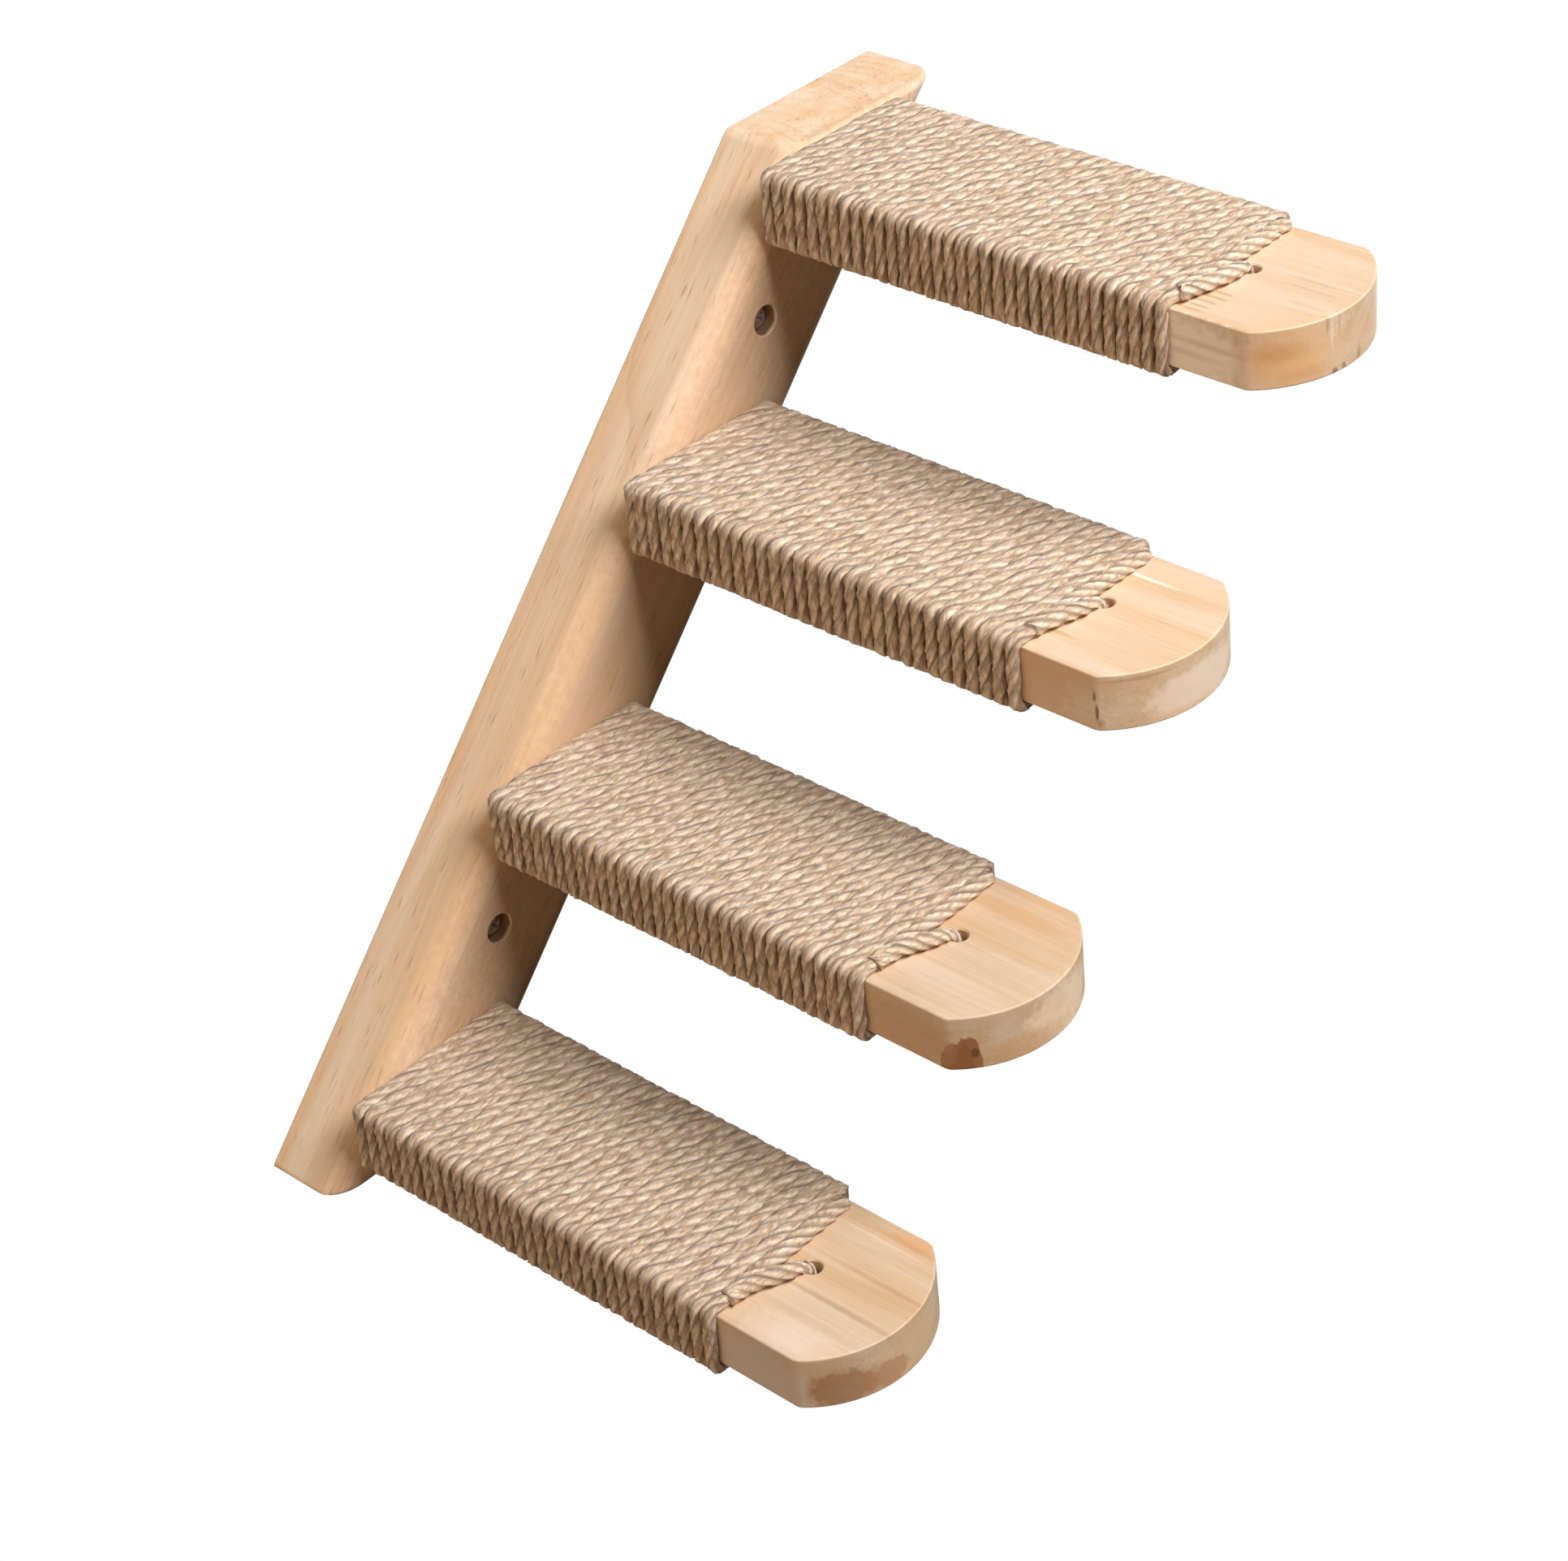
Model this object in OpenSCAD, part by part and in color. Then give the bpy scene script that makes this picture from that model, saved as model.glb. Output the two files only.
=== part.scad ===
/* [Rail] */
// Length of the rail along its slanted edges
rail_length = 400; // [380:1:460]
// Width of the rail across its front face
rail_width = 56; // [52:1:70]
// Thickness of the rail, from the wall to its front face
rail_thickness = 34; // [28:1:44]
// Rounding of the two long front edges
rail_rounding = 10; // [2:0.5:14]
// Slope of the rail, up from level
rail_slope = 46; // [40:1:54]

/* [Steps] */
// Reach of each board, from the rail's front face to its tip
step_reach = 220; // [180:1:260]
// Width of each board
step_width = 67; // [60:1:74]
// Thickness of each board
step_thickness = 21; // [18:0.5:26]
// Radius of the round end of each board
tip_radius = 41; // [40:0.5:60]
// Rounding where a board's side runs into its round end
tip_corner = 8; // [3:0.5:12]
// Height of the lowest board's underside above the rail's lower end
lower_margin = 11.5; // [4:0.5:20]
// Drop from the rail's upper end to the highest board's top
upper_margin = 3.5; // [1:0.5:15]
// Distance of the boards' middle from the rail's middle line, towards its high side
step_shift = 9; // [4:0.5:12]

/* [Rope] */
// Whole turns of rope round each board
turns = 20; // [12:1:23]
// Thickness of the rope where it is pressed flat on a board
rope_thickness = 4; // [3:0.25:4.5]
// Diameter of the rope where it is round, in the hole
rope_diameter = 5; // [4:0.25:6]
// Gap between one turn and the next
turn_gap = 0.6; // [0.5:0.05:1]
// Clearance between the rope and the wood
rope_clearance = 0.3; // [0.2:0.05:0.6]
// Clearance round the rope in its hole
hole_clearance = 0.75; // [0.5:0.05:1.5]
// Distance of the rope hole from the tip of the board
hole_inset = 41; // [34:0.5:60]
// Distance of the rope hole from the board's middle line, towards the far side
hole_shift = 2; // [-4:0.5:4]
// Distance from the edge of the wrap to the middle of the rope hole
wrap_stop = 2.5; // [1:0.25:6]
// Depth to which the rope's end runs down its hole
rope_end_depth = 14; // [8:0.5:16]

/* [Wall screws] */
// Distance between the two wall screws along the rail
wall_screw_spacing = 233; // [225:1:240]
// Distance of the wall screws from the rail's middle line, towards its high side
wall_screw_shift = 6.5; // [0:0.5:10]
// Diameter of a wall screw over its thread
wall_screw_diameter = 4.5; // [4:0.25:5.5]
// Diameter of a wall screw's smooth shank
wall_shank_diameter = 3.8; // [3:0.1:3.9]
// Diameter of a wall screw's head
wall_head_diameter = 8.5; // [8:0.25:10]
// Height of a wall screw's head
wall_head_height = 3; // [2.5:0.25:4]
// Length of thread that a wall screw shows behind the rail, without its point
wall_grip = 9; // [6:0.5:10]
// Distance from the rail's back to the start of that thread
wall_thread_gap = 0.5; // [0.2:0.1:2]
// Diameter of the recess that a wall screw's head sits in
recess_diameter = 12; // [11:0.5:14]
// Depth of the recess below the rail's front face
recess_depth = 6; // [4:0.5:10]

/* [Step fixings] */
// Distance between the two screws that hold a board
fixing_spacing = 36; // [32:0.5:40]
// Diameter of a fixing screw over its thread
fixing_diameter = 4; // [3.6:0.1:5]
// Diameter of a fixing screw's countersunk head
fixing_head_diameter = 8; // [7:0.25:9]
// Depth of a fixing screw's head below the rail's back
fixing_sink = 0.5; // [0.3:0.1:2]
// Length of a fixing screw that bites into the board
fixing_bite = 28; // [20:1:40]
// Clearance round a screw in its hole
fixing_clearance = 0.15; // [0.1:0.05:0.3]
// Width of the slots of the cross in each screw's head
drive_slot = 1.2; // [0.8:0.1:1.5]

/* [Hidden] */
$fn = 64;
step_count = 4;

// How far a cutter runs past what it cuts
past = 1;

// Length of a screw's point, and its head's shape as shares of the head's height and diameter
screw_point = 3;
head_rim_share = 0.55;
head_crown_share = 0.64;
drive_depth_share = 0.6;
drive_length_share = 0.62;

// A countersunk head and its seat taper by half a right angle to each side
fixing_head_height = (fixing_head_diameter - fixing_diameter) / 2;
fixing_hole_radius = fixing_diameter / 2 + fixing_clearance;
fixing_seat_radius = fixing_head_diameter / 2 + fixing_clearance + fixing_sink;

// Heights are measured from the middle of the rail's back face
rail_half_height = rail_length * sin(rail_slope) / 2;
top_of_highest = rail_half_height - upper_margin;
top_of_lowest = lower_margin + step_thickness - rail_half_height;
step_rise = (top_of_highest - top_of_lowest) / (step_count - 1);

// Rope hole and wrap, measured out from the wall along each board
hole_radius = rope_diameter / 2 + hole_clearance;
hole_out = rail_thickness + step_reach - hole_inset;
wrap_end = hole_out - wrap_stop;
wrap_start = rail_thickness + rope_clearance;

// One turn runs along four flats and round four corners
ring_sides = 5;
rings_per_turn = 8;
corner_run = 90 / 180 * PI * (rope_clearance + rope_thickness / 2);
turn_length = 2 * step_width + 2 * step_thickness + 4 * corner_run;
last_part = ring_run(3) / turn_length;
pitch = (wrap_end - wrap_start + turn_gap) / (turns + last_part + 1);
rope_width = pitch - turn_gap;

// Hues of the light wood, the natural rope and the plated screws
pine = "#e8c79b";
jute = "#cdb28d";
zinc = "#8f9296";

function step_top(i) = top_of_highest - i * step_rise;
function step_middle(i) = step_top(i) - step_thickness / 2;
function step_x(i) = step_middle(i) / tan(rail_slope) - step_shift;

// Run of the rope from the start of a turn to one of its eight rings, two at each corner of the board
function ring_run(j) =
    let (corner = floor(j / 2), past_corner = j % 2)
    step_width / 2 + (corner + past_corner) * corner_run
        + ceil(corner / 2) * step_thickness + floor(corner / 2) * step_width;

// Section of the rope: flat on the wood, with a low crown, as shares of its width and thickness
function section(k) = [[-0.34, -0.5], [0.34, -0.5], [0.5, 0.1], [0, 0.5], [-0.5, 0.1]][k];

// Points of one ring about a middle, with the directions of its width and of its thickness
function ring(middle, across, out, width, thickness) =
    [for (k = [0 : ring_sides - 1])
        middle + across * section(k)[0] * width + out * section(k)[1] * thickness];

// Ring j of turn n: the turn goes from the underside up the near side, over the top and down again
function turn_ring(n, j) =
    let (corner = floor(j / 2))
    let (angle = 270 - 90 * (corner + j % 2))
    let (out = [cos(angle), 0, sin(angle)])
    let (corner_x = corner < 2 ? -step_width / 2 : step_width / 2)
    let (corner_z = corner == 0 || corner == 3 ? -step_thickness : 0)
    let (along = wrap_start + rope_width / 2 + pitch * (n + ring_run(j) / turn_length))
    ring([corner_x, -along, corner_z] + out * (rope_clearance + rope_thickness / 2),
        [0, -1, 0], out, rope_width, rope_thickness);

// First ring, where the rope starts flat on the underside
function start_ring() =
    ring([0, -wrap_start - rope_width / 2, -step_thickness - rope_clearance - rope_thickness / 2],
        [0, -1, 0], [0, 0, -1], rope_width, rope_thickness);

// The rope's end leaves the last turn at the near top corner and runs slantwise to the hole
run_from = [-step_width / 2, rope_width / 2 - wrap_end];
run_to = [hole_shift, -hole_out];
run_way = (run_to - run_from) / norm(run_to - run_from);
run_across = [run_way[1], -run_way[0], 0];

// Ring on the bend into the hole, at an angle from level, and the last ring down in the hole
function bend_ring(angle) =
    let (way = [run_way[0], run_way[1], 0])
    let (out = way * sin(angle) + [0, 0, cos(angle)])
    let (bend_middle = [run_to[0], run_to[1], rope_clearance + rope_thickness / 2 - hole_radius]
        - way * hole_radius)
    let (share = angle / 90)
    ring(bend_middle + out * hole_radius, run_across, out,
        rope_width + (rope_diameter - rope_width) * share,
        rope_thickness + (rope_diameter - rope_thickness) * share);

function end_ring() =
    ring([run_to[0], run_to[1], -rope_end_depth], run_across, [run_way[0], run_way[1], 0],
        rope_diameter, rope_diameter);

rope_rings = concat(
    [start_ring()],
    [for (n = [0 : turns - 1], j = [0 : rings_per_turn - 1]) turn_ring(n, j)],
    [for (j = [0 : 3]) turn_ring(turns, j)],
    [for (angle = [0, 45, 90]) bend_ring(angle)],
    [end_ring()]
);

// Least distance between the points of rings that lie one turn apart
least_gap = min([
    for (r = [0 : len(rope_rings) - rings_per_turn - 2], ahead = [-1 : 1])
        for (a = rope_rings[r], b = rope_rings[r + rings_per_turn + ahead]) norm(a - b)
]);
echo(rope_turns = turns, rope_pitch = pitch, rope_width = rope_width, least_gap = least_gap);

// Tube through a list of rings, closed at both ends
module tube(rings) {
    sides = ring_sides;
    last = (len(rings) - 1) * sides;
    polyhedron(
        points = [for (r = rings) each r],
        faces = concat(
            [for (r = [0 : len(rings) - 2], k = [0 : sides - 1])
                [r * sides + k, r * sides + (k + 1) % sides, (r + 1) * sides + k]],
            [for (r = [0 : len(rings) - 2], k = [0 : sides - 1])
                [r * sides + (k + 1) % sides, (r + 1) * sides + (k + 1) % sides, (r + 1) * sides + k]],
            [for (k = [1 : sides - 2]) [0, k + 1, k]],
            [for (k = [1 : sides - 2]) [last, last + k, last + k + 1]]
        ),
        convexity = 10
    );
}

// Cylinder along Y, from one distance out from the wall to another
module bar(from, to, diameter) {
    translate([0, -from, 0])
        rotate([90, 0, 0])
            cylinder(d = diameter, h = to - from);
}

// Frame of the rail: X along it, Z towards its high side
module on_rail() {
    rotate([0, -rail_slope, 0]) children();
}

module at_wall_screw(side) {
    on_rail()
        translate([side * wall_screw_spacing / 2, 0, wall_screw_shift])
            children();
}

// Frame of a board, with its origin over the board's middle line, on its top
module on_step(i) {
    translate([step_x(i), 0, step_top(i)]) children();
}

// The places of the two screws in the end of a board
module at_fixings(i) {
    for (side = [-1, 1])
        translate([step_x(i) + side * fixing_spacing / 2, 0, step_middle(i)])
            children();
}

// Section of the rail, with its wall side on the Y axis of the drawing
module rail_section() {
    flat = rail_width - 2 * rail_rounding;
    translate([-rail_thickness, -flat / 2]) square([rail_thickness, flat]);
    translate([rail_rounding - rail_thickness, -rail_width / 2])
        square([rail_thickness - rail_rounding, rail_width]);
    for (side = [-1, 1])
        translate([rail_rounding - rail_thickness, side * flat / 2])
            circle(r = rail_rounding);
}

module rail_blank() {
    intersection() {
        on_rail()
            rotate([90, 0, 90])
                linear_extrude(2 * rail_length, center = true)
                    rail_section();
        cube([3 * rail_length, 3 * rail_thickness, 2 * rail_half_height], center = true);
    }
}

module rail() {
    color(pine)
        difference() {
            rail_blank();
            for (side = [-1, 1])
                at_wall_screw(side) {
                    bar(-past, rail_thickness + past, wall_screw_diameter + 2 * fixing_clearance);
                    bar(rail_thickness - recess_depth, rail_thickness + past, recess_diameter);
                }
            for (i = [0 : step_count - 1])
                at_fixings(i) {
                    bar(-past, rail_thickness + past, 2 * fixing_hole_radius);
                    translate([0, past, 0])
                        rotate([90, 0, 0])
                            cylinder(r1 = fixing_seat_radius + past, r2 = fixing_hole_radius,
                                h = fixing_seat_radius + past - fixing_hole_radius);
                }
        }
}

// Plan of a board: straight sides, rounded corners and a round end
module board_plan() {
    half = step_width / 2;
    end_y = tip_radius - rail_thickness - step_reach;
    corner_x = half - tip_corner;
    corner_y = sqrt(pow(tip_radius - tip_corner, 2) - pow(corner_x, 2));
    end_half = corner_x * tip_radius / (tip_radius - tip_corner);
    translate([-half, end_y - corner_y])
        square([step_width, corner_y - end_y - rail_thickness]);
    for (side = [-1, 1])
        translate([side * corner_x, end_y - corner_y])
            circle(r = tip_corner);
    translate([0, end_y])
        intersection() {
            circle(r = tip_radius, $fn = 128);
            translate([-end_half, -2 * tip_radius]) square([2 * end_half, 2 * tip_radius]);
        }
}

module board(i) {
    color(pine)
        difference() {
            on_step(i)
                translate([0, 0, -step_thickness])
                    linear_extrude(step_thickness)
                        board_plan();
            on_step(i)
                translate([hole_shift, -hole_out, -step_thickness - past])
                    cylinder(r = hole_radius, h = step_thickness + 2 * past);
            at_fixings(i)
                bar(rail_thickness - past,
                    rail_thickness + fixing_bite + screw_point + fixing_clearance,
                    2 * fixing_hole_radius);
        }
}

module rope(i) {
    color(jute)
        on_step(i)
            tube(rope_rings);
}

// Cross-shaped hollow for the driver, cut down from the top of a screw's head
module drive(head_diameter, head_height) {
    slot_length = head_diameter * drive_length_share;
    for (turn = [0, 90])
        rotate(turn)
            translate([-slot_length / 2, -drive_slot / 2, -head_height * drive_depth_share])
                cube([slot_length, drive_slot, head_height]);
}

// Pan-head screw, its head in the recess in the rail's front and its thread behind the rail
module wall_screw(side) {
    seat = rail_thickness - recess_depth;
    shank = seat + wall_thread_gap;
    color(zinc)
        at_wall_screw(side)
            translate([0, -seat, 0])
                rotate([90, 0, 0])
                    difference() {
                        rotate_extrude()
                            polygon([
                                [0, -shank - wall_grip - screw_point],
                                [wall_screw_diameter / 2, -shank - wall_grip],
                                [wall_screw_diameter / 2, -shank],
                                [wall_shank_diameter / 2, -shank],
                                [wall_shank_diameter / 2, 0],
                                [wall_head_diameter / 2, 0],
                                [wall_head_diameter / 2, wall_head_height * head_rim_share],
                                [wall_head_diameter / 2 * head_crown_share, wall_head_height],
                                [0, wall_head_height],
                            ]);
                        translate([0, 0, wall_head_height])
                            drive(wall_head_diameter, wall_head_height);
                    }
}

// Countersunk screw, driven from the rail's back into the end of a board
module fixing_screw() {
    reach = rail_thickness + fixing_bite - fixing_sink;
    translate([0, -fixing_sink, 0])
        rotate([-90, 0, 0])
            difference() {
                rotate_extrude()
                    polygon([
                        [0, -reach - screw_point],
                        [fixing_diameter / 2, -reach],
                        [fixing_diameter / 2, -fixing_head_height],
                        [fixing_head_diameter / 2, 0],
                        [0, 0],
                    ]);
                drive(fixing_head_diameter, fixing_head_height);
            }
}

module step_1() { board(0); }
module step_2() { board(1); }
module step_3() { board(2); }
module step_4() { board(3); }

module rope_1() { rope(0); }
module rope_2() { rope(1); }
module rope_3() { rope(2); }
module rope_4() { rope(3); }

module wall_screw_upper() { wall_screw(1); }
module wall_screw_lower() { wall_screw(-1); }

module fixing_screws() {
    color(zinc)
        for (i = [0 : step_count - 1])
            at_fixings(i)
                fixing_screw();
}

rail();
step_1();
step_2();
step_3();
step_4();
rope_1();
rope_2();
rope_3();
rope_4();
wall_screw_upper();
wall_screw_lower();
fixing_screws();
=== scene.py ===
import math
import random

import bpy
import numpy as np
from mathutils import Matrix, Vector


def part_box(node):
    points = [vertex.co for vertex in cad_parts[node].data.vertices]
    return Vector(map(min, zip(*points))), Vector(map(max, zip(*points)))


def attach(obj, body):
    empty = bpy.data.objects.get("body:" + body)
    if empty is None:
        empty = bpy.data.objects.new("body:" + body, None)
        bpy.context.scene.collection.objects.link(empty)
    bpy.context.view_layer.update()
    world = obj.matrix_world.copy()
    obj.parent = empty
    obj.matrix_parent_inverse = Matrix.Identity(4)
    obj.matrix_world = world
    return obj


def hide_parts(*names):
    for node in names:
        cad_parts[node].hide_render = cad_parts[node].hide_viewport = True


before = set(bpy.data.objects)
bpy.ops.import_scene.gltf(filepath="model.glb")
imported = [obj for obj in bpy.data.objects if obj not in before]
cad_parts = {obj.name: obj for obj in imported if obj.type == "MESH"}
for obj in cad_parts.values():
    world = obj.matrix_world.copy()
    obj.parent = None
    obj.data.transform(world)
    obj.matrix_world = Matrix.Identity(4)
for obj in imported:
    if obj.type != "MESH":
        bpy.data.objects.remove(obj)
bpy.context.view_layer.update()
scene = bpy.context.scene
mm = 0.001


def linear(hexColour):
    parts = [int(hexColour[i:i + 2], 16) / 255 for i in (1, 3, 5)]
    return [c / 12.92 if c <= 0.04045 else ((c + 0.055) / 1.055) ** 2.4 for c in parts]


def addNode(tree, kind, links=None, stops=None, **settings):
    node = tree.nodes.new(kind)
    for name, value in settings.items():
        setattr(node, name, value)
    if stops:
        ramp = node.color_ramp
        while len(ramp.elements) < len(stops):
            ramp.elements.new(0.5)
        for element, (place, colour) in zip(ramp.elements, stops):
            element.position = place
            element.color = (*colour, 1) if len(colour) == 3 else colour
    for name, source in (links or {}).items():
        if isinstance(source, bpy.types.NodeSocket):
            tree.links.new(source, node.inputs[name])
        else:
            node.inputs[name].default_value = source
    return node


def newMaterial(name):
    material = bpy.data.materials.new(name)
    material.use_nodes = True
    material.node_tree.nodes.clear()
    return material, material.node_tree


def grey(value):
    return (value, value, value)


# The camera that the photograph was taken with, found from the edges of the rail and the boards
cameraPlace = {
    "azimuth": -44.4926,  # degrees
    "elevation": 35.0427,
    "roll": -6.0394,
    "distance": 1.21371,  # metres
    "target": (-0.0279728, -0.125, -0.0117001),
    "lens": 83.055,  # mm
    "sensor": 36,
    "clip": (0.05, 20),  # metres
}


def placeCamera(place):
    azimuth, elevation, roll = (math.radians(place[k]) for k in ("azimuth", "elevation", "roll"))
    back = Vector((math.sin(azimuth) * math.cos(elevation),
                   -math.cos(azimuth) * math.cos(elevation), math.sin(elevation)))
    level = Vector((math.cos(azimuth), math.sin(azimuth), 0))
    upright = back.cross(level)
    right = level * math.cos(roll) + upright * math.sin(roll)
    up = upright * math.cos(roll) - level * math.sin(roll)
    lens = bpy.data.cameras.new("camera")
    lens.lens = place["lens"]
    lens.sensor_width = place["sensor"]
    lens.sensor_fit = "HORIZONTAL"
    lens.clip_start, lens.clip_end = place["clip"]
    camera = bpy.data.objects.new("camera", lens)
    scene.collection.objects.link(camera)
    matrix = Matrix((right, up, back)).transposed().to_4x4()
    matrix.translation = Vector(place["target"]) + back * place["distance"]
    camera.matrix_world = matrix
    scene.camera = camera


placeCamera(cameraPlace)
scene.view_settings.view_transform = "Standard"
print("camera placed")

# Wood: planed and sanded softwood, pale and nearly matt, with a faint growth ring pattern
wood = {
    "pale": "#efd6b4",
    "warm": "#e6c193",
    "late": "#d3a574",
    "pore": "#a97a4e",
    "ringSpacing": 4.2,  # mm between growth rings
    "swing": 22,  # mm that the rings wander along the tree
    # repeats in a mm along the grain and across it, and the size that this gives
    "wander": (0.005, 0.022, 0.022),  # 200 by 45 mm
    "patches": (0.012, 0.045, 0.045),  # stretches that show rings, 80 by 22 mm
    "bands": (0.006, 0.09, 0.09),  # pale and warm wood, 170 by 11 mm
    "dashes": (0.11, 0.9, 0.9),  # pores, 9 by 1.1 mm, coarser than the real ones so that they show
    "patchRange": (0.38, 0.66),  # of its noise, from the fewest rings to all
    "dashRange": (0.69, 0.83),
    "fewestRings": 0.08,
    "fibreWidth": 0.7,  # mm, coarser than the real 0.05 mm so that it shows
    "fibreLength": 60,  # times its width
    "streaks": (0.93, 1.05),  # brightness of the dark and pale fibres
    "ragged": 0.35,  # repeats in a mm, for the uneven edges of stains
    "roughness": 0.55,
    "ior": 1.5,
    "bumpHeight": 0.06,  # mm
    "sharpAngle": 40,  # degrees, from which an edge is shaded sharp
}

# Each board's own tree: where its middle lies beside the board (mm), its seed, its shade, how strongly
# its rings and pores show, and its marks. A mark is a stain, streak or crack, or painted light or shade
# on a face: its middle and half sizes (mm, from the board's middle line, the wall and the board's top),
# its colour, strength and softness.
boardLooks = {
    "step_1": {"pith": (18, 46), "seed": 11, "shade": 0.92, "rings": 0.3, "pores": 0.15, "marks": [
        # painted light: a paler, less warm top, set against the key light's warmth
        ((0, -226, 0), (34, 34, 2), "#e6cfb2", 0.35, 0.4),
        # painted light: the near side made lighter
        ((-34, -216, -12), (2.5, 30, 16), "#fff3db", 0.9, 0.5),
        ((-24, -247, -12), (22, 17, 13), "#eebb80", 0.85, 0.8),
        ((-26, -244, -8.5), (13, 10, 4), "#d59c62", 0.6, 0.9),
        ((-19, -249, -17), (12, 8, 2.5), "#d8a068", 0.4, 0.9),
        ((6, -253, -12), (7, 5, 6), "#e9b384", 0.5, 0.8),
        ((-11.8, -252.2, -2.5), (0.8, 3, 4), "#b98a60", 0.6, 0.8),
        ((-10, -252.8, -6), (0.8, 3, 6), "#fbe8cd", 0.5, 0.8),
        ((-7, -253.4, -4), (0.7, 3, 5), "#b98a60", 0.4, 0.8),
        ((-8.9, -253, -20.5), (1.5, 3, 1.8), "#5e432c", 0.7, 0.6),
        ((-5, -253.8, -20), (1.2, 3, 2), "#7a5738", 0.6, 0.6),
        ((3, -254, -18.5), (1.2, 3, 3.5), "#a97c55", 0.5, 0.8),
        ((5, -236, 0), (1.4, 13, 1.5), "#c6a78a", 0.45, 0.6),
        ((0, -239, 0), (1.0, 13, 1.5), "#c6a78a", 0.45, 0.6),
        ((-9, -242, 0), (1.0, 10, 1.5), "#c9a784", 0.4, 0.6),
        ((-16.5, -214, 0), (0.9, 7, 1.5), "#a98561", 0.5, 0.4),
        ((-20, -214.5, 0), (0.9, 7, 1.5), "#a98561", 0.5, 0.4),
        ((-23.5, -214, 0), (0.9, 6, 1.5), "#a98561", 0.5, 0.4),
        ((-27, -213, 0), (0.9, 6, 1.5), "#a98561", 0.5, 0.4),
        ((-30.2, -213, 0), (0.8, 6, 1.5), "#a98561", 0.4, 0.4),
        ((-33.5, -220, -9.5), (1.5, 20, 1.4), "#b98e64", 0.35, 0.9),
        ((-33.5, -214, -14), (1.5, 14, 1.4), "#b98e64", 0.3, 0.9),
    ]},
    "step_2": {"pith": (-30, 70), "seed": 23, "shade": 0.96, "rings": 0.22, "pores": 0.15, "marks": [
        # painted light: the tip made paler where the key light falls short
        ((-2, -254, -13), (34, 14, 10), "#fbe3c4", 0.8, 0.3),
        # painted shade: the near side tinted darker and warmer
        ((-33.5, -210, -11), (4, 22, 14), "#e0b58c", 0.75, 0.3),
        ((-33.3, -236.8, -14), (3, 0.8, 4), "#6b4a30", 0.85, 0.5),
        ((-33.4, -236.1, -8), (3, 0.8, 2.6), "#85603f", 0.8, 0.5),
        ((-33.3, -237.8, -18), (3, 1.4, 2), "#a07c58", 0.6, 0.8),
        ((-23, -246, -2.4), (17, 15, 0.8), "#b98f68", 0.5, 0.5),
        ((-12, -252, -20), (20, 8, 2.5), "#ebbf8c", 0.5, 0.6),
        ((21, -213, 0), (1.0, 18, 1.5), "#fff4e0", 0.75, 0.6),
        ((29.5, -224, 0), (9.5, 34, 2.5), "#efc8a4", 0.4, 0.25),
        ((-20, -212, 0), (1.2, 7, 1.5), "#bd9068", 0.5, 0.5),
        ((-28, -212, 0), (5, 7, 1.5), "#efbf98", 0.5, 0.6),
    ]},
    "step_3": {"pith": (40, 38), "seed": 37, "shade": 0.88, "rings": 0.16, "pores": 0.15, "marks": [
        # painted light: the tip made paler where the key light falls short
        ((6, -254, -12), (24, 12, 13), "#ffe3ba", 0.9, 0.4),
        ((-14, -251, -17), (24, 9, 7), "#d9a772", 0.6, 0.5),
        ((-32.6, -238.2, -21), (4.2, 6.5, 14.6), "#a0683a", 0.9, 0.06),
        ((-30.6, -240.4, -20), (4.2, 6.5, 14.8), "#a0683a", 0.9, 0.06),
        ((-28.6, -242.2, -19.5), (4.2, 6.5, 15.6), "#a0683a", 0.9, 0.06),
        ((-27.6, -243.6, -14.5), (1.8, 1.8, 2.6), "#6f4526", 0.8, 0.4),
        # painted shade: the near side tinted darker and warmer
        ((-33.5, -222, -11), (3, 26, 14), "#cba071", 0.5, 0.5),
        ((1, -254, -8), (8, 4, 5), "#f3c9a4", 0.5, 0.6),
        ((21.5, -222, 0), (5, 24, 2), "#d7a877", 0.6, 0.5),
        ((31.5, -224, 0), (2.5, 22, 2), "#d9ac7c", 0.6, 0.5),
    ]},
    "step_4": {"pith": (8, 90), "seed": 41, "shade": 0.9, "rings": 0.3, "pores": 0.15, "marks": [
        ((-7.3, -232, 0), (1.3, 30, 2), "#b08258", 0.5, 0.9),
        ((9, -236, 0), (1.4, 30, 2), "#c0946a", 0.4, 0.9),
        ((28.5, -232, 0), (1.6, 13, 1.5), "#cf9560", 0.6, 0.9),
        ((31, -234, 0), (3.5, 13, 2.5), "#e2ab76", 0.6, 0.8),
        ((24.6, -222, 0), (0.8, 26, 1.5), "#fbe6c8", 0.35, 0.6),
        ((-27, -230, 0), (9, 20, 2), "#fbebd4", 0.45, 0.9),
        # painted light: the tip made paler and warmer where the key light falls short
        ((2, -254, -12), (24, 12, 13), "#efc694", 0.6, 0.4),
        ((-24, -247, -14), (18, 13, 10), "#b07f54", 0.75, 0.25),
        ((-8.5, -253, -15), (12, 6, 7), "#c89466", 0.7, 0.25),
        # painted light: the near side tinted paler and greyer
        ((-33.5, -222, -12), (4, 30, 16), "#dccdb8", 0.8, 0.5),
    ]},
    "rail": {"pith": (-16, 52), "seed": 5, "shade": 1.15, "rings": 0.35, "pores": 0.45, "marks": [
        # painted shade: the front face and its rounding darker and warmer than the slanted side
        ((0, -39, 0), (400, 13, 400), "#cca27a", 0.6, 0.6),
        # painted shade on the walls of the two screw recesses
        ((76.2, -30.0, 88.3), (18, 4.3, 18), "#735032", 0.8, 0.1),
        ((-85.6, -30.0, -79.3), (18, 4.3, 18), "#735032", 0.8, 0.1),
    ]},
}


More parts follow.
